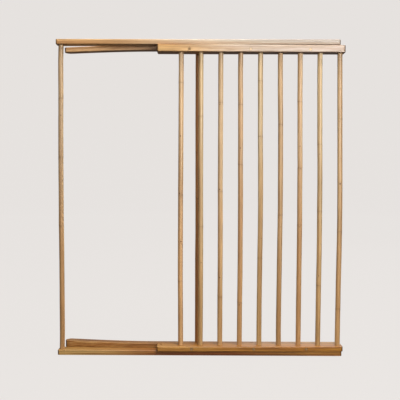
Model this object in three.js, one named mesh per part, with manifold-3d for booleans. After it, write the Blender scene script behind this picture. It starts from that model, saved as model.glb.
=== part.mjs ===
// Extending wooden safety gate: an outer frame (post and two rails) with a
// sliding spindle panel made of front rails, rear rails, nine spindles and a stile.
// Millimetres, X along the rails, -Y the front, +Z up.
import * as THREE from 'three';
import { mergeVertices } from 'three/addons/utils/BufferGeometryUtils.js';
import Module from 'manifold-3d';

const wasm = await Module();
wasm.setup();

// ---------------------------------------------------------------- dimensions
const HEIGHT = 803;              // floor to the top of the outer top rail
const RAIL_H = 12.5;             // height of the rails
const FRONT_TOP_H = 17.8;        // the front top rail is taller
const X_END = 365.5;             // half the closed width

const OUTER_TOP_X0 = -365.5, OUTER_TOP_X1 = 354; // outer rails, the bottom one set to the right
const OUTER_BOT_X0 = -363, OUTER_BOT_X1 = 363.5;
const OUTER_Y0 = -28, OUTER_Y1 = 0;
const FRONT_X0 = -109, FRONT_X1 = X_END;        // front rails of the panel
const FRONT_Y0 = -32, FRONT_Y1 = 0;
const FRONT_FLARE = 8;           // the front rails are this much deeper at their left end
const REAR_X0 = -350.5, REAR_X1 = X_END;        // rear rails of the panel
const REAR_Y0 = 0.4, REAR_Y1 = 24.4;

const OUTER_TOP_Z = HEIGHT - RAIL_H;            // underside heights of the rails
const OUTER_BOT_Z = 0;
const FRONT_TOP_Z = 770.5;
const FRONT_BOT_Z = 12.8;
const REAR_TOP_Z = 782;
const REAR_BOT_Z = 11;

const CORNER_R = 5;              // rounding of the rail ends seen from above
const EDGE_R = 1.6;              // rounding of the long edges
const BOW_X = -115;              // rear rails bow from here to their free end
const BOW_BACK = 8.14;
const BOW_IN = 5;
const BOW_SWELL = 5;             // the rear bottom rail is this much taller at its free end
const OUTER_BACK = 7.7;          // the outer bottom rail is this much deeper behind at its left end
const REAR_BEVEL = 13;           // slanted rear corner of the free ends

const ROD_D = 12.7;              // post, spindles and stile
const SOCKET_DEPTH = 6;
const FIT = 0.3;                 // clearance round every fitted piece
const POST_X = -354, POST_Y = -14;
const STILE_X = -5.8, STILE_Y = 12.4;
const SPINDLE_X0 = -48.5, SPINDLE_PITCH = 50.3, SPINDLE_Y = -16, SPINDLES = 9;

const TRAVEL = 350;              // how far the panel slides out
const PEG_D = 6;                 // guide pegs
const GROOVE_W = 7.2, GROOVE_DEPTH = 4;
const PEG_REACH = 3.4;           // how far a peg stands into its groove
const PANEL_PEG_X = -99, OUTER_PEG_X = 343, PEG_Y = -14;
const PEG_SUNK = 2.5;            // the lower panel peg ends this far below the rail's top
const PEG_SEAT = 8;              // how deep a peg is set in its own rail
const GROOVE_END = 2;            // spare groove past each end of the travel

const SCREW_HEAD_D = 7, SCREW_HEAD_H = 2.6, SCREW_SHANK_D = 3.5;
const TOP_SCREWS = [-27, 126.5, 276.5];         // front top rail to its cleats
const BOT_SCREWS = [-20, 138, 272];             // front bottom rail to the rear bottom rail
const TOP_SCREW_L = 46, BOT_SCREW_L = 52;
const CLEAT_L = 24, CLEAT_D = 11.6;             // blocks under the rear top rail
const CLEAT_RISE = 2.8;          // they stay this far above the front rail's underside
const CLEAT_SCREW_L = 20;
const Y_SHIFT = 4;               // moves everything so that the depth is centred
const END_SCREW_L = 26;

// ------------------------------------------------------------------- helpers
function toManifold(geo) {
  const g = geo.clone();
  g.deleteAttribute('normal');
  if (g.getAttribute('uv')) g.deleteAttribute('uv');
  const m = mergeVertices(g, 1e-4);
  return new wasm.Manifold(new wasm.Mesh({
    numProp: 3,
    vertProperties: Float32Array.from(m.getAttribute('position').array),
    triVerts: Uint32Array.from(m.index.array),
  }));
}

function toGeometry(man) {
  const mesh = man.getMesh();
  const g = new THREE.BufferGeometry();
  const n = mesh.vertProperties.length / mesh.numProp;
  const pos = new Float32Array(n * 3);
  for (let i = 0; i < n; i++) {
    pos[3 * i] = mesh.vertProperties[i * mesh.numProp];
    pos[3 * i + 1] = mesh.vertProperties[i * mesh.numProp + 1];
    pos[3 * i + 2] = mesh.vertProperties[i * mesh.numProp + 2];
  }
  g.setAttribute('position', new THREE.BufferAttribute(pos, 3));
  g.setIndex(new THREE.BufferAttribute(Uint32Array.from(mesh.triVerts), 1));
  g.computeVertexNormals();
  return g;
}

// Closed solid through rings of equal length, each ring anticlockwise seen from
// the far end of the sweep, with a flat fan on the first and last ring.
function loft(rings) {
  const n = rings[0].length;
  const verts = [], tris = [];
  for (const ring of rings) for (const p of ring) verts.push(p[0], p[1], p[2]);
  for (let s = 0; s + 1 < rings.length; s++) {
    for (let i = 0; i < n; i++) {
      const j = (i + 1) % n;
      const a = s * n + i, b = s * n + j, c = a + n, d = b + n;
      tris.push(a, b, d, a, d, c);
    }
  }
  const cap = (s, flip) => {
    const c = verts.length / 3;
    let x = 0, y = 0, z = 0;
    for (const p of rings[s]) { x += p[0]; y += p[1]; z += p[2]; }
    verts.push(x / n, y / n, z / n);
    for (let i = 0; i < n; i++) {
      const a = s * n + i, b = s * n + (i + 1) % n;
      if (flip) tris.push(c, b, a); else tris.push(c, a, b);
    }
  };
  cap(0, true);
  cap(rings.length - 1, false);
  const g = new THREE.BufferGeometry();
  g.setAttribute('position', new THREE.BufferAttribute(Float32Array.from(verts), 3));
  g.setIndex(tris);
  return g;
}

// Rounded-rectangle section in the YZ plane at x, anticlockwise seen from +X.
function section(x, y0, y1, z0, z1, r) {
  const pts = [];
  const k = 3;
  const corners = [
    [y1 - r, z1 - r, 0], [y0 + r, z1 - r, 90], [y0 + r, z0 + r, 180], [y1 - r, z0 + r, 270],
  ];
  for (const [cy, cz, a0] of corners) {
    for (let i = 0; i <= k; i++) {
      const a = (a0 + 90 * i / k) * Math.PI / 180;
      pts.push([x, cy + r * Math.cos(a), cz + r * Math.sin(a)]);
    }
  }
  return pts;
}

const smooth = (t) => { const u = Math.min(1, Math.max(0, t)); return u * u * (3 - 2 * u); };

// Rail along X. opts.bow = +1 / -1 bends the left part back and up / down, the
// lower face of a +1 rail staying level, opts.bevel slants the left rear corner instead of rounding it,
// opts.flare makes the rail deeper in front and opts.back deeper behind towards
// its left end, opts.h sets another height.
function rail(x0, x1, y0, y1, z0, opts = {}) {
  const z1 = z0 + (opts.h || RAIL_H);
  const N = 5;
  const endDrop = [1.2, 0.35, 0, 0, 0, 0];
  // ends as quarter rounds seen from above
  const left = [], right = [];
  for (let i = 0; i <= N; i++) {
    const a = (90 * i / N) * Math.PI / 180;
    const dx = CORNER_R * (1 - Math.cos(a));
    const inset = CORNER_R * (1 - Math.sin(a));
    left.push({ x: x0 + dx, f: inset, b: inset, d: endDrop[i] });
    right.push({ x: x1 - dx, f: inset, b: inset, d: endDrop[i] });
  }
  right.reverse();
  if (opts.bevel) {
    for (const s of left) s.b = Math.max(0, opts.bevel * 0.8 - (s.x - x0));
    left.push({ x: x0 + opts.bevel * 0.8 + 0.01, f: 0, b: 0, d: 0 });
  }
  const mid = [];
  if (opts.bow || opts.back) {
    for (let x = x0 + 26; x < BOW_X; x += 16) mid.push({ x, f: 0, b: 0, d: 0 });
    mid.push({ x: BOW_X, f: 0, b: 0, d: 0 });
  }
  const rings = [...left, ...mid, ...right].map((s) => {
    const t = Math.min(1, smooth((BOW_X - s.x) / (BOW_X - REAR_X0) * 0.5) * 2);
    const dy = opts.bow ? BOW_BACK * t : 0, back = (opts.back || 0) * t;
    const d1 = opts.bow ? opts.bow * BOW_IN * t : 0;
    const d0 = opts.bow > 0 ? d1 - BOW_SWELL * t : d1;
    const flare = (opts.flare || 0) * (x1 - s.x) / (x1 - x0);
    const r = Math.min(EDGE_R, 0.45 * (y1 - y0 - s.f - s.b));
    return section(s.x, y0 + s.f + dy - flare, y1 - s.b + dy + back, z0 + s.d + d0, z1 - s.d + d1, r);
  });
  return toManifold(loft(rings));
}

function cyl(r, z0, z1, x, y, seg = 36) {
  const g = new THREE.CylinderGeometry(r, r, z1 - z0, seg, 1);
  g.rotateX(Math.PI / 2);
  g.translate(x, y, (z0 + z1) / 2);
  return toManifold(g);
}

function box(x0, x1, y0, y1, z0, z1) {
  const g = new THREE.BoxGeometry(x1 - x0, y1 - y0, z1 - z0);
  g.translate((x0 + x1) / 2, (y0 + y1) / 2, (z0 + z1) / 2);
  return toManifold(g);
}

// Turned solid from [radius, height] pairs, axis +Z.
function turned(profile, seg = 36) {
  const pts = profile.map(([r, z]) => new THREE.Vector2(r, z));
  const g = new THREE.LatheGeometry(pts, seg);
  g.rotateX(Math.PI / 2);
  return g;
}

// Round-ended slot running along X, cut between z0 and z1.
function slot(x0, x1, y, w, z0, z1) {
  return box(x0, x1, y - w / 2, y + w / 2, z0, z1)
    .add(cyl(w / 2, z0, z1, x0, y, 24))
    .add(cyl(w / 2, z0, z1, x1, y, 24));
}

function rod(z0, z1, x, y, d = ROD_D) {
  const r = d / 2, c = 0.8;
  const g = turned([[0, z0], [r - c, z0], [r, z0 + c], [r, z1 - c], [r - c, z1], [0, z1]], 40);
  g.translate(x, y, 0);
  return toManifold(g);
}

function peg(z0, z1, x, y) {
  const r = PEG_D / 2, c = 0.6;
  const g = turned([[0, z0], [r - c, z0], [r, z0 + c], [r, z1 - c], [r - c, z1], [0, z1]], 28);
  g.translate(x, y, 0);
  return toManifold(g);
}

// Countersunk screw pointing along -Z from its head face at z = 0.
function screwBody(len, clear = 0) {
  const R = SCREW_HEAD_D / 2 + clear, r = SCREW_SHANK_D / 2 + clear;
  const tip = clear ? 0.6 : 5;
  const top = clear ? 2 : 0;
  const prof = clear
    ? [[0, -len - clear], [r, -len - clear], [r, -SCREW_HEAD_H - clear], [R, -0.2], [R, top], [0, top]]
    : [[0, -len], [0.5, -len], [r, -len + tip], [r, -SCREW_HEAD_H], [R - 0.25, -0.3], [R - 0.25, 0], [0, 0]];
  return turned(prof, 28);
}

function crossRecess() {
  const a = box(-2.1, 2.1, -0.45, 0.45, -1.5, 1);
  const b = box(-0.45, 0.45, -2.1, 2.1, -1.5, 1);
  return a.add(b);
}

// Turns a screw that points along -Z to the given way and moves it into place.
function orient(man, dir, x, y, z) {
  let m = man;
  if (dir === '+Y') m = m.rotate([90, 0, 0]);         // -Z goes to +Y
  if (dir === '+Z') m = m.rotate([180, 0, 0]);        // -Z goes to +Z
  return m.translate([x, y, z]);
}

const screw = (len, dir, x, y, z) =>
  orient(toManifold(screwBody(len)).subtract(crossRecess()), dir, x, y, z);
const screwHole = (len, dir, x, y, z) =>
  orient(toManifold(screwBody(len, FIT)), dir, x, y, z);

// ------------------------------------------------------------------ materials
const mat = (c, r, m = 0) => new THREE.MeshStandardMaterial({ color: c, roughness: r, metalness: m });
const RAIL_MAT = mat(0xd9b888, 0.55);
const ROD_MAT = mat(0xcfa877, 0.5);
const REAR_MAT = mat(0xb98f62, 0.6);
const PEG_MAT = mat(0xa97f52, 0.6);
const SCREW_MAT = mat(0x8f8672, 0.4, 0.85);

const group = new THREE.Group();
group.name = 'safety_gate';
function put(name, man, material) {
  const mesh = new THREE.Mesh(toGeometry(man.translate([0, Y_SHIFT, 0])), material);
  mesh.name = name;
  group.add(mesh);
}

// ----------------------------------------------------------------- the sockets
const S = ROD_D / 2 + FIT;
const spindleX = (i) => SPINDLE_X0 + SPINDLE_PITCH * i;
const flareAt = (x) => FRONT_FLARE * (FRONT_X1 - x) / (FRONT_X1 - FRONT_X0);
const spindleY = (i) => SPINDLE_Y - flareAt(spindleX(i)) / 2;
const screwTopZ = FRONT_TOP_Z + RAIL_H * 0.5;
const screwBotZ = FRONT_BOT_Z + RAIL_H * 0.5;

// ------------------------------------------------------------------ outer frame
{
  // top rail: post socket and guide groove on its underside
  let m = rail(OUTER_TOP_X0, OUTER_TOP_X1, OUTER_Y0, OUTER_Y1, OUTER_TOP_Z);
  m = m.subtract(cyl(S, OUTER_TOP_Z - 1, OUTER_TOP_Z + SOCKET_DEPTH + FIT, POST_X, POST_Y, 40));
  m = m.subtract(slot(PANEL_PEG_X - GROOVE_END, PANEL_PEG_X + TRAVEL + GROOVE_END, PEG_Y, GROOVE_W,
    OUTER_TOP_Z - 1, OUTER_TOP_Z + GROOVE_DEPTH));
  m = m.subtract(cyl(PEG_D / 2 + FIT, OUTER_TOP_Z - 1, OUTER_TOP_Z + PEG_SEAT + FIT, OUTER_PEG_X, PEG_Y, 28));
  m = m.subtract(screwHole(END_SCREW_L, '-Z', POST_X, POST_Y, HEIGHT));
  put('outer_top_rail', m, RAIL_MAT);

  m = rail(OUTER_BOT_X0, OUTER_BOT_X1, OUTER_Y0, OUTER_Y1, OUTER_BOT_Z, { back: OUTER_BACK });
  m = m.subtract(cyl(S, RAIL_H - SOCKET_DEPTH - FIT, RAIL_H + 1, POST_X, POST_Y, 40));
  m = m.subtract(slot(PANEL_PEG_X - GROOVE_END, PANEL_PEG_X + TRAVEL + GROOVE_END, PEG_Y, GROOVE_W,
    RAIL_H - GROOVE_DEPTH, RAIL_H + 1));
  m = m.subtract(cyl(PEG_D / 2 + FIT, RAIL_H - PEG_SEAT - FIT, RAIL_H + 1, OUTER_PEG_X, PEG_Y, 28));
  m = m.subtract(screwHole(END_SCREW_L, '+Z', POST_X, POST_Y, 0));
  put('outer_bottom_rail', m, RAIL_MAT);

  // left post
  m = rod(RAIL_H - SOCKET_DEPTH, OUTER_TOP_Z + SOCKET_DEPTH, POST_X, POST_Y);
  m = m.subtract(screwHole(END_SCREW_L, '-Z', POST_X, POST_Y, HEIGHT));
  m = m.subtract(screwHole(END_SCREW_L, '+Z', POST_X, POST_Y, 0));
  put('left_post', m, ROD_MAT);

  put('outer_top_guide_peg', peg(FRONT_TOP_Z + FRONT_TOP_H - PEG_REACH, OUTER_TOP_Z + PEG_SEAT, OUTER_PEG_X, PEG_Y), PEG_MAT);
  put('outer_bottom_guide_peg', peg(RAIL_H - PEG_SEAT, FRONT_BOT_Z + PEG_REACH, OUTER_PEG_X, PEG_Y), PEG_MAT);
  put('post_screw_top', screw(END_SCREW_L, '-Z', POST_X, POST_Y, HEIGHT - 0.1), SCREW_MAT);
  put('post_screw_bottom', screw(END_SCREW_L, '+Z', POST_X, POST_Y, 0.1), SCREW_MAT);
}

// ---------------------------------------------------------------- sliding panel
{
  const pegX0 = OUTER_PEG_X - TRAVEL - GROOVE_END, pegX1 = OUTER_PEG_X + GROOVE_END;
  // front top rail
  let m = rail(FRONT_X0, FRONT_X1, FRONT_Y0, FRONT_Y1, FRONT_TOP_Z, { flare: FRONT_FLARE, h: FRONT_TOP_H });
  for (let i = 0; i < SPINDLES; i++) {
    m = m.subtract(cyl(S, FRONT_TOP_Z - 1, FRONT_TOP_Z + SOCKET_DEPTH + FIT, spindleX(i), spindleY(i), 40));
  }
  m = m.subtract(slot(pegX0, pegX1, PEG_Y, GROOVE_W, FRONT_TOP_Z + FRONT_TOP_H - GROOVE_DEPTH, FRONT_TOP_Z + FRONT_TOP_H + 1));
  m = m.subtract(cyl(PEG_D / 2 + FIT, FRONT_TOP_Z + FRONT_TOP_H - PEG_SEAT - FIT, FRONT_TOP_Z + FRONT_TOP_H + 1, PANEL_PEG_X, PEG_Y, 28));
  // front bottom rail
  let n = rail(FRONT_X0, FRONT_X1, FRONT_Y0, FRONT_Y1, FRONT_BOT_Z, { flare: FRONT_FLARE });
  for (let i = 0; i < SPINDLES; i++) {
    n = n.subtract(cyl(S, FRONT_BOT_Z + RAIL_H - SOCKET_DEPTH - FIT, FRONT_BOT_Z + RAIL_H + 1, spindleX(i), spindleY(i), 40));
  }
  n = n.subtract(slot(pegX0, pegX1, PEG_Y, GROOVE_W, FRONT_BOT_Z - 1, FRONT_BOT_Z + GROOVE_DEPTH));
  n = n.subtract(cyl(PEG_D / 2 + FIT, FRONT_BOT_Z - 1, FRONT_BOT_Z + RAIL_H + 1, PANEL_PEG_X, PEG_Y, 28));

  // rear rails
  let p = rail(REAR_X0, REAR_X1, REAR_Y0, REAR_Y1, REAR_TOP_Z, { bow: -1, bevel: REAR_BEVEL });
  let q = rail(REAR_X0, REAR_X1, REAR_Y0, REAR_Y1, REAR_BOT_Z, { bow: 1, bevel: REAR_BEVEL });
  p = p.subtract(cyl(S, REAR_TOP_Z - 1, REAR_TOP_Z + SOCKET_DEPTH + FIT, STILE_X, STILE_Y, 40));
  q = q.subtract(cyl(S, REAR_BOT_Z + RAIL_H - SOCKET_DEPTH - FIT, REAR_BOT_Z + RAIL_H + 1, STILE_X, STILE_Y, 40));
  const stileTop = REAR_TOP_Z + RAIL_H, stileBot = REAR_BOT_Z;
  p = p.subtract(screwHole(END_SCREW_L, '-Z', STILE_X, STILE_Y, stileTop));
  q = q.subtract(screwHole(END_SCREW_L, '+Z', STILE_X, STILE_Y, stileBot));
  TOP_SCREWS.forEach((x, i) => {
    // a cleat joins the two top rails, which meet only along an edge
    const y0 = FRONT_Y0 - flareAt(x);
    const cz0 = FRONT_TOP_Z + CLEAT_RISE, cz1 = REAR_TOP_Z - FIT;
    const cx = x - 3, cy0 = REAR_Y0, cy1 = REAR_Y0 + CLEAT_D;
    let c = box(cx - CLEAT_L / 2, cx + CLEAT_L / 2, cy0, cy1, cz0, cz1);
    const front = screwHole(TOP_SCREW_L, '+Y', x, y0, screwTopZ);
    const up = screwHole(CLEAT_SCREW_L, '+Z', x - 9, cy0 + CLEAT_D / 2, cz0);
    m = m.subtract(front);
    c = c.subtract(front).subtract(up);
    p = p.subtract(up);
    put('top_cleat_' + (i + 1), c, PEG_MAT);
    put('rail_screw_top_' + (i + 1), screw(TOP_SCREW_L, '+Y', x, y0 + 0.1, screwTopZ), SCREW_MAT);
    put('cleat_screw_' + (i + 1), screw(CLEAT_SCREW_L, '+Z', x - 9, cy0 + CLEAT_D / 2, cz0 + 0.1), SCREW_MAT);
  });
  BOT_SCREWS.forEach((x, i) => {
    const y0 = FRONT_Y0 - flareAt(x);
    const hole = screwHole(BOT_SCREW_L, '+Y', x, y0, screwBotZ);
    n = n.subtract(hole);
    q = q.subtract(hole);
    put('rail_screw_bottom_' + (i + 1), screw(BOT_SCREW_L, '+Y', x, y0 + 0.1, screwBotZ), SCREW_MAT);
  });
  put('front_top_rail', m, RAIL_MAT);
  put('front_bottom_rail', n, RAIL_MAT);
  put('rear_top_rail', p, REAR_MAT);
  put('rear_bottom_rail', q, REAR_MAT);

  for (let i = 0; i < SPINDLES; i++) {
    put('spindle_' + (i + 1), rod(FRONT_BOT_Z + RAIL_H - SOCKET_DEPTH, FRONT_TOP_Z + SOCKET_DEPTH, spindleX(i), spindleY(i)), ROD_MAT);
  }
  let st = rod(REAR_BOT_Z + RAIL_H - SOCKET_DEPTH, REAR_TOP_Z + SOCKET_DEPTH, STILE_X, STILE_Y);
  st = st.subtract(screwHole(END_SCREW_L, '-Z', STILE_X, STILE_Y, stileTop));
  st = st.subtract(screwHole(END_SCREW_L, '+Z', STILE_X, STILE_Y, stileBot));
  put('rear_stile', st, REAR_MAT);

  put('panel_top_guide_peg', peg(FRONT_TOP_Z + FRONT_TOP_H - PEG_SEAT, OUTER_TOP_Z + PEG_REACH, PANEL_PEG_X, PEG_Y), PEG_MAT);
  put('panel_bottom_guide_peg', peg(RAIL_H - PEG_REACH, FRONT_BOT_Z + RAIL_H - PEG_SUNK, PANEL_PEG_X, PEG_Y), PEG_MAT);
  put('stile_screw_top', screw(END_SCREW_L, '-Z', STILE_X, STILE_Y, stileTop - 0.1), SCREW_MAT);
  put('stile_screw_bottom', screw(END_SCREW_L, '+Z', STILE_X, STILE_Y, stileBot + 0.1), SCREW_MAT);
}

export default group;
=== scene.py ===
import math
import random

import bmesh
import bpy
import numpy as np
from mathutils import Matrix, Vector


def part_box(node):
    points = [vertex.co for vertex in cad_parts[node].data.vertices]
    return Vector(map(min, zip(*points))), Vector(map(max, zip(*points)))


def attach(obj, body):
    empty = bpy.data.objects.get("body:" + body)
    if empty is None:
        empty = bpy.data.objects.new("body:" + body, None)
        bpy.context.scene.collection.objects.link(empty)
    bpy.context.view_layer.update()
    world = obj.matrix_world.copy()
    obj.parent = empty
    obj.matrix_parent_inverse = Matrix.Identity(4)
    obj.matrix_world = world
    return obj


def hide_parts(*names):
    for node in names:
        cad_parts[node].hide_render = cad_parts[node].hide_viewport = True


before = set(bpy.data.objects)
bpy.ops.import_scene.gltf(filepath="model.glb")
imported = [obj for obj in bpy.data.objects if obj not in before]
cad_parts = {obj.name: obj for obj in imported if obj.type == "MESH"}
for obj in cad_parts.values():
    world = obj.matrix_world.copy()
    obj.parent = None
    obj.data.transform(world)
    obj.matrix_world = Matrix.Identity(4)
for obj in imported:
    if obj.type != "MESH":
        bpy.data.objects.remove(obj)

scene = bpy.context.scene
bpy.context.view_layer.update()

MM = 0.001

# --------------------------------------------------------------------------
# small node-tree helpers
# --------------------------------------------------------------------------


class Tree:
    """Thin wrapper that keeps node building short."""

    def __init__(self, mat):
        self.t = mat.node_tree
        self.n = self.t.nodes
        self.l = self.t.links
        self.x = -1800

    def add(self, kind, **props):
        node = self.n.new(kind)
        self.x += 40
        node.location = (self.x, random.Random(len(self.n)).uniform(-600, 600))
        for k, v in props.items():
            setattr(node, k, v)
        return node

    def link(self, a, b):
        self.l.new(a, b)

    def put(self, socket, value):
        if hasattr(value, "is_linked") or isinstance(value, bpy.types.NodeSocket):
            self.link(value, socket)
        else:
            socket.default_value = value

    def math(self, op, a, b=None, c=None, clamp=False):
        m = self.add("ShaderNodeMath", operation=op, use_clamp=clamp)
        self.put(m.inputs[0], a)
        if b is not None:
            self.put(m.inputs[1], b)
        if c is not None:
            self.put(m.inputs[2], c)
        return m.outputs[0]

    def mix(self, fac, a, b, blend="MIX"):
        m = self.add("ShaderNodeMix", data_type="RGBA", blend_type=blend)
        self.put(m.inputs[0], fac)
        self.put(m.inputs[6], a)
        self.put(m.inputs[7], b)
        return m.outputs[2]

    def ramp(self, fac, stops, interp="LINEAR"):
        r = self.add("ShaderNodeValToRGB")
        e = r.color_ramp
        e.interpolation = interp
        while len(e.elements) > 1:
            e.elements.remove(e.elements[-1])
        e.elements[0].position = stops[0][0]
        e.elements[0].color = (*stops[0][1], 1)
        for p, c in stops[1:]:
            k = e.elements.new(p)
            k.color = (*c, 1)
        self.put(r.inputs[0], fac)
        return r.outputs[0]

    def level(self, fac, lo, hi, a=0.0, b=1.0):
        m = self.add("ShaderNodeMapRange", interpolation_type="SMOOTHSTEP")
        self.put(m.inputs[0], fac)
        m.inputs[1].default_value = lo
        m.inputs[2].default_value = hi
        m.inputs[3].default_value = a
        m.inputs[4].default_value = b
        return m.outputs[0]

    def noise(self, vec, scale, detail=3.0, rough=0.5, dist=0.0):
        n = self.add("ShaderNodeTexNoise")
        self.put(n.inputs["Vector"], vec)
        n.inputs["Scale"].default_value = scale
        n.inputs["Detail"].default_value = detail
        n.inputs["Roughness"].default_value = rough
        n.inputs["Distortion"].default_value = dist
        return n.outputs[0]


def srgb(r, g, b):
    def f(c):
        c /= 255.0
        return c / 12.92 if c <= 0.04045 else ((c + 0.055) / 1.055) ** 2.4

    return (f(r), f(g), f(b))


def wood(name, axis, seed, pale, mid, deep, rough=0.46, end=None, marks=True, tint=1.0,
         gradient=None, streak=1.0):
    """Clear-coated pale wood with its grain along axis ('x' or 'z').
    Long fibres, soft growth bands, short pores, blotches, darker end grain whose wide mask
    also paints shade onto rounded ends; the optional gradient paints light and shade along the piece."""
    rng = random.Random(seed)
    mat = bpy.data.materials.new(name)
    mat.use_nodes = True
    T = Tree(mat)
    bsdf = T.n["Principled BSDF"]

    tc = T.add("ShaderNodeTexCoord")
    off = [rng.uniform(-3, 3) for _ in range(3)]
    ax = {"x": 0, "z": 2}[axis]

    def stretched(along, across, twist=0.0):
        m = T.add("ShaderNodeMapping")
        T.link(tc.outputs["Object"], m.inputs["Vector"])
        m.inputs["Location"].default_value = off
        sc = [across] * 3
        sc[ax] = along
        m.inputs["Scale"].default_value = sc
        rot = [0, 0, 0]
        rot[1 if ax == 0 else 0] = twist
        m.inputs["Rotation"].default_value = rot
        return m.outputs[0]

    # slow wander of the grain so that the fibres are never quite straight
    wander = T.noise(stretched(3.0, 18.0), 1.0, 2.0)

    # growth bands: wide tone changes across the section
    bands_v = stretched(1.4, 120.0, rng.uniform(-0.02, 0.02))
    bands = T.noise(bands_v, 1.0, 2.5, 0.55, 0.6)
    # fibres: very long, very thin
    fib = T.noise(stretched(9.0, 900.0, rng.uniform(-0.01, 0.01)), 1.0, 4.0, 0.62, 0.25)
    fine = T.noise(stretched(40.0, 2600.0), 1.0, 2.0, 0.5)
    # blotches along the length
    blotch = T.noise(stretched(7.0, 30.0), 1.0, 3.0, 0.6)
    # short dark pores
    v = T.add("ShaderNodeTexVoronoi", feature="F1")
    T.link(stretched(120.0, 1500.0), v.inputs["Vector"])
    v.inputs["Scale"].default_value = 1.0
    pore = T.level(v.outputs["Distance"], 0.10, 0.26, 1.0, 0.0)
    pore_where = T.level(bands, 0.46, 0.60)
    pore = T.math("MULTIPLY", pore, pore_where)

    tone = T.math("MULTIPLY_ADD", bands, 0.62, T.math("MULTIPLY", fib, 0.38 * streak))
    tone = T.math("ADD", tone, T.math("MULTIPLY_ADD", wander, 0.18, -0.09))
    if streak > 1.25:
        mean = 0.5 * (0.62 + 0.38 * streak)
        tone = T.math("MULTIPLY_ADD", tone, 1.6, 0.51 - 1.6 * mean)
    col = T.ramp(tone, [(0.30, pale), (0.47, mid), (0.68, deep)], "B_SPLINE")
    # fibres and blotches as gentle multiplications
    col = T.mix(T.math("MULTIPLY", T.level(fib, 0.5, 0.75), 0.22 * streak), col,
                (*[c * 0.62 for c in deep], 1), "MIX")
    if streak > 1.25:
        # long thin dark growth lines
        lines = T.level(T.noise(stretched(1.6, 300.0), 1.0, 2.0, 0.45, 0.4), 0.55, 0.70)
        col = T.mix(T.math("MULTIPLY", lines, 0.42), col, (*[c * 0.60 for c in deep], 1))
    light = T.level(blotch, 0.35, 0.7, 0.90, 1.08)
    comb = T.add("ShaderNodeCombineColor")
    T.put(comb.inputs[0], light)
    T.put(comb.inputs[1], T.math("MULTIPLY_ADD", light, 0.93, 0.07))
    T.put(comb.inputs[2], T.math("MULTIPLY_ADD", light, 0.80, 0.20))
    col = T.mix(1.0, col, comb.outputs[0], "MULTIPLY")
    col = T.mix(T.math("MULTIPLY", pore, 0.42), col, (*[c * 0.42 for c in deep], 1))

    # end grain: where the face looks along the grain; end grain is darker, and the wide mask also paints shade onto the
    # rounded rail ends
    nrm = T.add("ShaderNodeSeparateXYZ")
    T.link(tc.outputs["Normal"], nrm.inputs[0])
    facing = T.math("ABSOLUTE", nrm.outputs[ax])
    endmask = T.level(facing, 0.12, 0.60)
    rings = T.add("ShaderNodeTexWave", wave_type="RINGS", rings_direction="XYZ"[ax])
    m = T.add("ShaderNodeMapping")
    T.link(tc.outputs["Object"], m.inputs["Vector"])
    m.inputs["Location"].default_value = [rng.uniform(0.004, 0.03) * rng.choice((-1, 1)) for _ in range(3)]
    T.link(m.outputs[0], rings.inputs["Vector"])
    rings.inputs["Scale"].default_value = 160.0
    rings.inputs["Distortion"].default_value = 2.0
    rings.inputs["Detail"].default_value = 2.0
    rings.inputs["Detail Scale"].default_value = 60.0
    e = end or deep
    endcol = T.mix(rings.outputs[0], (*[c * 0.34 for c in e], 1), (*[c * 0.60 for c in e], 1))
    col = T.mix(endmask, col, endcol)

    bump_extra = None
    rough_extra = 0.0
    if marks:
        att = T.add("ShaderNodeAttribute", attribute_name="marks", attribute_type="GEOMETRY")
        sep = T.add("ShaderNodeSeparateColor")
        T.link(att.outputs["Color"], sep.inputs[0])
        ringm, knot, edge = sep.outputs[0], sep.outputs[1], sep.outputs[2]
        jag = T.noise(stretched(260.0, 500.0), 1.0, 2.0)
        knot_f = T.math("MULTIPLY", T.level(T.math("ADD", knot, T.math("MULTIPLY_ADD", jag, 0.5, -0.25)), 0.12, 0.60), 0.95)
        col = T.mix(T.math("MULTIPLY", ringm, 0.72), col, (*[c * 0.50 for c in deep], 1))
        col = T.mix(knot_f, col, (deep[0] * 0.30, deep[1] * 0.22, deep[2] * 0.16, 1))
        # worn edges go a little darker and cleaner
        edge_f = T.math("MULTIPLY", edge, T.level(T.noise(stretched(22.0, 60.0), 1.0, 3.0, 0.6), 0.35, 0.7, 0.10, 0.42))
        col = T.mix(edge_f, col, (*[c * 0.72 for c in deep], 1))
        bump_extra = T.math("SUBTRACT", 0.0, T.math("ADD", T.math("MULTIPLY", ringm, 0.35), T.math("MULTIPLY", knot_f, 0.35)))
        rough_extra = T.math("MULTIPLY", edge, -0.06)

    # painted light and shade along the piece: the given tone gradients stand in for how the lamps light it
    for lo, hi, c_lo, c_hi in gradient or ():
        sx = T.add("ShaderNodeSeparateXYZ")
        T.link(tc.outputs["Object"], sx.inputs[0])
        g = T.add("ShaderNodeMapRange", interpolation_type="SMOOTHSTEP")
        T.link(sx.outputs[ax], g.inputs[0])
        g.inputs[1].default_value = lo
        g.inputs[2].default_value = hi
        gc = T.mix(g.outputs[0], (*c_lo, 1), (*c_hi, 1))
        col = T.mix(1.0, col, gc, "MULTIPLY")

    T.link(col, bsdf.inputs["Base Color"])

    r = T.math("MULTIPLY_ADD", fib, 0.16, rough - 0.08)
    r = T.math("ADD", r, T.math("MULTIPLY_ADD", blotch, 0.14, -0.07))
    r = T.math("ADD", r, T.math("MULTIPLY", endmask, 0.22))
    r = T.math("ADD", r, T.math("MULTIPLY", pore, 0.15))
    if marks:
        r = T.math("ADD", r, rough_extra)
    T.link(r, bsdf.inputs["Roughness"])
    bsdf.inputs["Coat Weight"].default_value = 0.18
    bsdf.inputs["Coat Roughness"].default_value = 0.32
    bsdf.inputs["IOR"].default_value = 1.46

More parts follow.
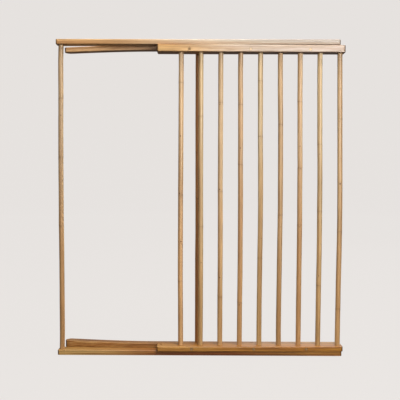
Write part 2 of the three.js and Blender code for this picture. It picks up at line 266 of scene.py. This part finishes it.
    h = T.math("MULTIPLY_ADD", fib, 0.5, T.math("MULTIPLY", fine, 0.2))
    h = T.math("SUBTRACT", h, T.math("MULTIPLY", pore, 0.5))
    if bump_extra is not None:
        h = T.math("ADD", h, bump_extra)
    bump = T.add("ShaderNodeBump")
    bump.inputs["Strength"].default_value = 0.35
    bump.inputs["Distance"].default_value = 0.00035
    T.link(h, bump.inputs["Height"])
    T.link(bump.outputs[0], bsdf.inputs["Normal"])
    return mat


def steel(name, seed, tones, metal):
    """Yellow-passivated steel screw: brushed turning rings, tarnish."""
    mat = bpy.data.materials.new(name)
    mat.use_nodes = True
    T = Tree(mat)
    bsdf = T.n["Principled BSDF"]
    tc = T.add("ShaderNodeTexCoord")
    n1 = T.noise(tc.outputs["Object"], 420.0 + seed, 4.0, 0.6)
    n2 = T.noise(tc.outputs["Object"], 2600.0, 2.0, 0.5)
    col = T.ramp(n1, [(0.3, srgb(*tones[0])), (0.55, srgb(*tones[1])), (0.75, srgb(*tones[2]))])
    col = T.mix(T.math("MULTIPLY", T.level(n2, 0.5, 0.8), 0.25), col, (*srgb(120, 92, 58), 1))
    T.link(col, bsdf.inputs["Base Color"])
    bsdf.inputs["Metallic"].default_value = metal
    T.link(T.math("MULTIPLY_ADD", n1, 0.3, 0.34), bsdf.inputs["Roughness"])
    b = T.add("ShaderNodeBump")
    b.inputs["Strength"].default_value = 0.25
    b.inputs["Distance"].default_value = 0.0001
    T.link(n2, b.inputs["Height"])
    T.link(b.outputs[0], bsdf.inputs["Normal"])
    return mat


# --------------------------------------------------------------------------
# mesh helpers
# --------------------------------------------------------------------------


def mesh_object(name, verts, faces, marks=None, smooth=True):
    me = bpy.data.meshes.new(name)
    me.from_pydata([tuple(v) for v in verts], [], faces)
    me.update()
    if smooth:
        me.polygons.foreach_set("use_smooth", [True] * len(me.polygons))
    if marks is not None:
        a = me.color_attributes.new("marks", "FLOAT_COLOR", "POINT")
        a.data.foreach_set("color", np.array(marks, dtype=np.float32).ravel())
    o = bpy.data.objects.new(name, me)
    scene.collection.objects.link(o)
    return o


def smooth_by_angle(o, degrees=40):
    """Marks the edges that turn sharply, so that flats stay flat and rounds stay round."""
    me = o.data
    bm = bmesh.new()
    bm.from_mesh(me)
    lim = math.radians(degrees)
    for e in bm.edges:
        e.smooth = not (len(e.link_faces) == 2 and e.calc_face_angle(0.0) > lim)
    for f in bm.faces:
        f.smooth = True
    bm.to_mesh(me)
    bm.free()


# --------------------------------------------------------------------------
# turned rods: post, spindles and stile
# --------------------------------------------------------------------------

# Where each rod's rings (nodes) and knots sit, as heights in metres; knots also
# have an angle (0 = right side, 90 = back, 270 = front) and a size.
ROD_MARKS = {
    "left_post": ([0.655, 0.505, 0.330], [(0.612, 280, 1.0), (0.268, 250, 0.8)]),
    "spindle_1": ([0.695, 0.410, 0.190], [(0.560, 262, 1.3), (0.414, 250, 1.1), (0.292, 285, 1.2)]),
    "spindle_2": ([0.610, 0.330], [(0.238, 282, 0.9)]),
    "spindle_3": ([0.645, 0.420, 0.150], [(0.425, 255, 1.2), (0.200, 262, 1.1), (0.640, 250, 0.9)]),
    "spindle_4": ([0.640, 0.488, 0.135], [(0.530, 262, 1.2), (0.130, 258, 1.0)]),
    "spindle_5": ([0.700, 0.560, 0.250], [(0.560, 252, 0.8), (0.300, 290, 0.8)]),
    "spindle_6": ([0.590, 0.360], [(0.360, 262, 0.9), (0.330, 280, 0.7)]),
    "spindle_7": ([0.648, 0.480, 0.335], [(0.535, 262, 1.1), (0.478, 282, 1.0), (0.330, 262, 1.0)]),
    "spindle_8": ([0.540, 0.370, 0.180], [(0.515, 255, 0.8), (0.205, 262, 0.9)]),
    "spindle_9": ([0.605, 0.318, 0.120], [(0.680, 262, 0.9), (0.505, 290, 0.9), (0.440, 262, 1.6)]),
    "rear_stile": ([0.520, 0.240], [(0.400, 262, 0.9)]),
}


# how far each rod bellies to the right at mid height, in millimetres
BELLY = {
    "left_post": -0.8, "spindle_1": -0.8, "spindle_2": 0.2, "spindle_3": 0.0, "spindle_4": 1.0,
    "spindle_5": 1.6, "spindle_6": 1.8, "spindle_7": 1.8, "spindle_8": 2.6, "spindle_9": 3.8,
    "rear_stile": 0.0,
}


def build_rod(node, seed):
    lo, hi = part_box(node)
    lo, hi = Vector(lo), Vector(hi)
    cx, cy = (lo.x + hi.x) / 2, (lo.y + hi.y) / 2
    R = (hi.x - lo.x) / 2
    belly = BELLY[node] * MM
    z0, z1 = lo.z, hi.z
    rings, knots = ROD_MARKS[node]
    rng = random.Random(seed)
    # bends: the centre line wanders less than a millimetre and kinks at the rings
    ph = [rng.uniform(0, 6.28) for _ in range(4)]
    amp = [rng.uniform(0.25, 0.55) * MM for _ in range(2)]
    kinks = [(z, rng.uniform(-1, 1) * 0.55 * MM) for z in rings]

    def centre(z):
        t = (z - z0) / (z1 - z0)
        fade = min(1.0, t / 0.06, (1 - t) / 0.06)
        x = amp[0] * math.sin(5.2 * t + ph[0]) + 0.35 * amp[1] * math.sin(13.0 * t + ph[1])
        y = 0.6 * amp[1] * math.sin(4.4 * t + ph[2])
        for kz, k in kinks:
            d = (z - kz) / 0.045
            x += k * math.exp(-d * d) * (1 if z > kz else 0.6)
        x += belly * math.sin(math.pi * t) ** 2
        if node == "left_post":
            x += -1.8 * MM * (t - 0.35)
        return cx + x * fade, cy + y * fade

    zs = set(np.linspace(z0 + 0.0008, z1 - 0.0008, 190).tolist())
    for k in rings:
        for d in (-4, -2.6, -1.6, -1.0, -0.5, 0, 0.5, 1.0, 1.6, 2.6, 4):
            zs.add(k + d * MM)
    for kz, _, size in knots:
        for d in (-2.4, -1.5, -0.8, 0, 0.8, 1.5, 2.4):
            zs.add(kz + d * MM * size)
    zs = sorted(z for z in zs if z0 + 0.0007 < z < z1 - 0.0007)
    # drop heights that fall almost on each other
    keep = [zs[0]]
    for z in zs[1:]:
        if z - keep[-1] > 0.00018:
            keep.append(z)
    zs = keep
    prof = [(z0, R - 0.0008), (z0 + 0.0002, R - 0.0004)] + [(z, R) for z in zs] + [
        (z1 - 0.0002, R - 0.0004), (z1, R - 0.0008)]
    NSEG = 28
    verts, marks, faces = [], [], []
    for z, r in prof:
        px, py = centre(z)
        ringw = 0.0
        dr = 0.06 * MM * math.sin(31 * z + ph[3]) + 0.05 * MM * math.sin(97 * z + ph[0])
        for k in rings:
            d = (z - k) / MM
            dr += 0.14 * MM * math.exp(-(d / 3.0) ** 2) - 0.24 * MM * math.exp(-(d / 0.7) ** 2)
            ringw = max(ringw, math.exp(-(d / 0.9) ** 2), 0.35 * math.exp(-(d / 4.0) ** 2))
        for i in range(NSEG):
            a = 2 * math.pi * i / NSEG
            rr = r + dr + 0.05 * MM * math.sin(3 * a + 9 * z + ph[1])
            kn = 0.0
            for kz, ka, size in knots:
                da = (math.degrees(a) - ka + 180) % 360 - 180
                arc = math.radians(da) * R / MM
                dd = math.hypot(arc / (1.15 * size), (z - kz) / MM / (1.5 * size))
                kn = max(kn, math.exp(-dd * dd))
            rr += 0.10 * MM * kn
            rr = min(rr, R + 0.0002)
            verts.append((px + rr * math.cos(a), py + rr * math.sin(a), z))
            uneven = 0.75 + 0.25 * math.sin(a * 2 + ph[2] + 40 * z)
            marks.append((ringw * uneven, kn, 0.0, 1.0))
    n = len(prof)
    for s in range(n - 1):
        for i in range(NSEG):
            j = (i + 1) % NSEG
            faces.append((s * NSEG + i, s * NSEG + j, (s + 1) * NSEG + j, (s + 1) * NSEG + i))
    faces.append(tuple(reversed(range(NSEG))))
    faces.append(tuple((n - 1) * NSEG + i for i in range(NSEG)))
    return mesh_object(node + "_turned", verts, faces, marks)


# --------------------------------------------------------------------------
# materials
# --------------------------------------------------------------------------

PALE = srgb(222, 184, 132)
MID = srgb(200, 154, 100)
DEEP = srgb(158, 110, 62)
# painted shade: the lower rails take a darker, deeper palette, standing in for the light falling off towards the bottom
LOW_PALE = srgb(214, 160, 84)
LOW_MID = srgb(184, 126, 54)
LOW_DEEP = srgb(132, 80, 26)
# painted light: the upper rails go whiter towards the right, where the key lamp's glare falls, and a little darker
# again at their right ends
TOP_RAIL_LIGHT_TONE = [(-0.30, 0.10, (0.96, 0.97, 0.94), (0.74, 1.02, 1.78)),
          (0.05, 0.34, (1.0, 1.0, 1.0), (0.80, 0.80, 0.84))]
FRONT_TOP_RAIL_LIGHT_TONE = [(-0.10, 0.12, (0.89, 0.86, 0.70), (0.74, 0.92, 1.50)),
                (0.05, 0.34, (1.0, 1.0, 1.0), (0.84, 0.82, 0.84))]
REAR_TOP_RAIL_LIGHT_TONE = [(-0.30, 0.10, (0.93, 0.90, 0.90), (0.74, 1.02, 1.78))]
# painted shadow: the outer bottom rail goes dark brown in its middle, where the front bottom rail overhangs it, and
# light again towards its ends
OUTER_BOTTOM_SHADOW_TONE = [(-0.34, -0.04, (0.88, 1.06, 1.50), (0.52, 0.32, 0.15)),
             (0.05, 0.32, (1.0, 1.0, 1.0), (2.00, 3.30, 6.20))]
LOW_REAR = [(-0.30, 0.30, (0.56, 0.48, 0.34), (0.78, 0.76, 0.62))]
LOW_FRONT = [(-0.10, 0.16, (0.96, 0.98, 0.86), (0.84, 0.76, 0.44))]
# painted shade: the spindles and post go browner towards the bottom and paler and whiter towards the top, standing in
# for the light's falloff
ROD_LIGHT_FALLOFF_TONE = [(0.10, 0.62, (0.96, 1.00, 1.06), (0.92, 1.12, 1.50))]

mats = {}


def assign(o, mat):
    o.data.materials.clear()
    o.data.materials.append(mat)


def paint_cad(node, mat):
    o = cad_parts[node]
    if not o.material_slots:
        o.data.materials.append(mat)
    for s in o.material_slots:
        s.material = mat


mats["outer_top_rail"] = wood("outer_top_wood", "x", 11, PALE, MID, DEEP, marks=False, gradient=TOP_RAIL_LIGHT_TONE, streak=1.35)
mats["outer_bottom_rail"] = wood("outer_bottom_wood", "x", 12, LOW_PALE, LOW_MID, LOW_DEEP, marks=False, streak=1.5, gradient=OUTER_BOTTOM_SHADOW_TONE)
mats["front_top_rail"] = wood("front_top_wood", "x", 13, PALE, MID, DEEP, marks=False, gradient=FRONT_TOP_RAIL_LIGHT_TONE, streak=1.35)
mats["front_bottom_rail"] = wood("front_bottom_wood", "x", 14, LOW_PALE, LOW_MID, LOW_DEEP, marks=False, streak=1.5, gradient=LOW_FRONT)
mats["rear_top_rail"] = wood("rear_top_wood", "x", 15, PALE, MID, DEEP, marks=False, gradient=REAR_TOP_RAIL_LIGHT_TONE, streak=1.5)
mats["rear_bottom_rail"] = wood("rear_bottom_wood", "x", 16, PALE, LOW_MID, LOW_DEEP, marks=False, streak=1.5, gradient=LOW_REAR)
for k, m in mats.items():
    paint_cad(k, m)

peg_mat = wood("peg_wood", "z", 40, srgb(206, 172, 126), srgb(186, 148, 102), srgb(150, 112, 72), marks=False)
cleat_mat = wood("cleat_wood", "x", 41, MID, srgb(176, 130, 82), DEEP, marks=False)
screw_mat = steel("screw_steel", 3, ((128, 100, 68), (158, 126, 86), (186, 154, 112)), 0.40)
pale_screw_mat = steel("pale_screw_steel", 5, ((176, 150, 116), (200, 174, 138), (216, 192, 158)), 0.20)
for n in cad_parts:
    if "screw" in n:
        paint_cad(n, pale_screw_mat if n in ("rail_screw_top_2", "rail_screw_top_3") else screw_mat)
    elif "peg" in n:
        paint_cad(n, peg_mat)
    elif "cleat" in n:
        paint_cad(n, cleat_mat)

ROD_TONES = {
    "left_post": 1.0, "spindle_1": 1.0, "spindle_2": 0.97, "spindle_3": 0.98, "spindle_4": 1.0,
    "spindle_5": 1.0, "spindle_6": 0.96, "spindle_7": 1.0, "spindle_8": 0.95, "spindle_9": 0.97,
    # painted shade: the rear stile is toned darker for the shade it stands in
    "rear_stile": 0.82,
}
for i, (node, k) in enumerate(ROD_TONES.items()):
    piece = build_rod(node, 100 + i)
    p, m, d = ([c * k for c in PALE], [c * k for c in MID], [c * k for c in DEEP])
    hue = (1.0, 1.0, 1.0)
    # painted shade: the rear stile gets a darker, browner copy of the wood, for the shade it stands in behind spindle 2
    if node == "rear_stile":
        hue = (1.0, 0.80, 0.55)
    elif i % 3 == 1:
        hue = (1.02, 0.985, 0.97)
    elif i % 3 == 2:
        hue = (0.97, 1.0, 0.97)
    p, m, d = ([a * b for a, b in zip(c, hue)] for c in (p, m, d))
    assign(piece, wood(node + "_wood", "z", 60 + i, p, m, d, streak=1.2, gradient=None if node == "rear_stile" else ROD_LIGHT_FALLOFF_TONE))
    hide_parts(node)
    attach(piece, "outer_frame" if node == "left_post" else "sliding_panel")

# --------------------------------------------------------------------------
# stage: a seamless pale floor and backdrop, soft lights, camera
# --------------------------------------------------------------------------


def backdrop():
    """Round floor that curves up into a wall all the way round, so every side has the same pale ground."""
    floor, R = 7.0, 2.0
    prof = [(0.6 * k, 0.0) for k in range(1, 12)] + [(floor, 0.0)]
    for i in range(1, 17):
        a = math.radians(90 * i / 16)
        prof.append((floor + R * math.sin(a), R * (1 - math.cos(a))))
    prof.append((floor + R, 8.0))
    NS = 96
    verts = [(0.0, 0.0, -0.0006)]
    for r, z in prof:
        for k in range(NS):
            t = 2 * math.pi * k / NS
            verts.append((r * math.cos(t), r * math.sin(t), z - 0.0006))
    faces = [(0, 1 + k, 1 + (k + 1) % NS) for k in range(NS)]
    for i in range(len(prof) - 1):
        for k in range(NS):
            j = (k + 1) % NS
            p, q = 1 + i * NS, 1 + (i + 1) * NS
            faces.append((p + k, q + k, q + j, p + j))
    o = mesh_object("studio_backdrop", verts, faces)
    mat = bpy.data.materials.new("studio_paper")
    mat.use_nodes = True
    T = Tree(mat)
    b = T.n["Principled BSDF"]
    tc = T.add("ShaderNodeTexCoord")
    f = T.noise(tc.outputs["Object"], 40.0, 3.0)
    T.link(T.ramp(f, [(0.3, [c * 0.020 for c in srgb(231, 227, 224)]), (0.7, [c * 0.022 for c in srgb(231, 227, 224)])]),
           b.inputs["Base Color"])
    b.inputs["Roughness"].default_value = 0.95
    b.inputs["Specular IOR Level"].default_value = 0.05
    b.inputs["Emission Color"].default_value = (*srgb(231, 227, 224), 1)
    b.inputs["Emission Strength"].default_value = 0.985
    o.visible_diffuse = False
    o.visible_glossy = False
    o.visible_shadow = False
    assign(o, mat)
    return o


backdrop()

world = bpy.data.worlds.new("studio_world")
world.use_nodes = True
wt = world.node_tree
bg = wt.nodes["Background"]
# the room is lighter above than below
wc = wt.nodes.new("ShaderNodeTexCoord")
ws = wt.nodes.new("ShaderNodeSeparateXYZ")
wr = wt.nodes.new("ShaderNodeValToRGB")
wm = wt.nodes.new("ShaderNodeMath")
wm.operation = "MULTIPLY_ADD"
wm.inputs[1].default_value = 0.5
wm.inputs[2].default_value = 0.5
wt.links.new(wc.outputs["Generated"], ws.inputs[0])
wt.links.new(ws.outputs[2], wm.inputs[0])
wt.links.new(wm.outputs[0], wr.inputs[0])
e = wr.color_ramp.elements
e[0].position, e[0].color = 0.30, (0.16, 0.13, 0.11, 1)
e[1].position, e[1].color = 0.75, (0.86, 0.86, 0.86, 1)
wt.links.new(wr.outputs[0], bg.inputs[0])
bg.inputs[1].default_value = 0.42
scene.world = world


def area(name, loc, target, size, power, colour=(1, 1, 1), size_y=None):
    d = bpy.data.lights.new(name, "AREA")
    d.energy = power
    d.color = colour
    d.size = size
    if size_y:
        d.shape = "RECTANGLE"
        d.size_y = size_y
    o = bpy.data.objects.new(name, d)
    o.location = loc
    o.rotation_mode = "QUATERNION"
    o.rotation_quaternion = (Vector(target) - Vector(loc)).to_track_quat("-Z", "Y")
    scene.collection.objects.link(o)
    return o


area("key_softbox", (0.62, -1.15, 0.88), (0.0, 0, 0.60), 0.44, 13.0, (1.0, 0.99, 0.97))
area("top_softbox", (0.3, -0.35, 2.1), (0.1, 0, 0.0), 0.9, 42, (1.0, 0.98, 0.95))
area("left_fill", (-0.75, -1.7, 0.72), (-0.15, 0, 0.76), 0.5, 2.0, (1.0, 0.97, 0.93))
area("back_fill", (0.9, 2.8, 1.3), (0, 0, 0.4), 1.4, 9, (1.0, 0.99, 0.97))
area("front_fill", (0.4, -3.2, 0.7), (0, 0, 0.5), 1.4, 19, (1.0, 0.99, 0.97))

cam_data = bpy.data.cameras.new("photo_camera")
cam = bpy.data.objects.new("photo_camera", cam_data)
scene.collection.objects.link(cam)
scene.camera = cam
CAM = dict(cx=6.0, dist=1550.0, cz=444.0, pitch=1.70, yaw=-0.21, roll=0.18, f=613.0)
cam_data.sensor_width = 36.0
cam_data.lens = CAM["f"] / 400.0 * 36.0
cam_data.clip_start, cam_data.clip_end = 0.05, 60.0
yw, pt, rl = (math.radians(CAM[k]) for k in ("yaw", "pitch", "roll"))
fw = Vector((math.sin(yw) * math.cos(pt), math.cos(yw) * math.cos(pt), -math.sin(pt)))
rt = Vector((math.cos(yw), -math.sin(yw), 0.0))
up = rt.cross(fw)
rt2 = rt * math.cos(rl) + up * math.sin(rl)
up2 = -rt * math.sin(rl) + up * math.cos(rl)
rot = Matrix((rt2, up2, -fw)).transposed()
cam.rotation_mode = "QUATERNION"
cam.rotation_quaternion = rot.to_quaternion()
cam.location = (CAM["cx"] * MM, (-28 - CAM["dist"]) * MM, CAM["cz"] * MM)

scene.view_settings.view_transform = "Standard"
scene.view_settings.look = "None"
scene.view_settings.exposure = 0.0
scene.view_settings.gamma = 1.0

bpy.context.view_layer.update()
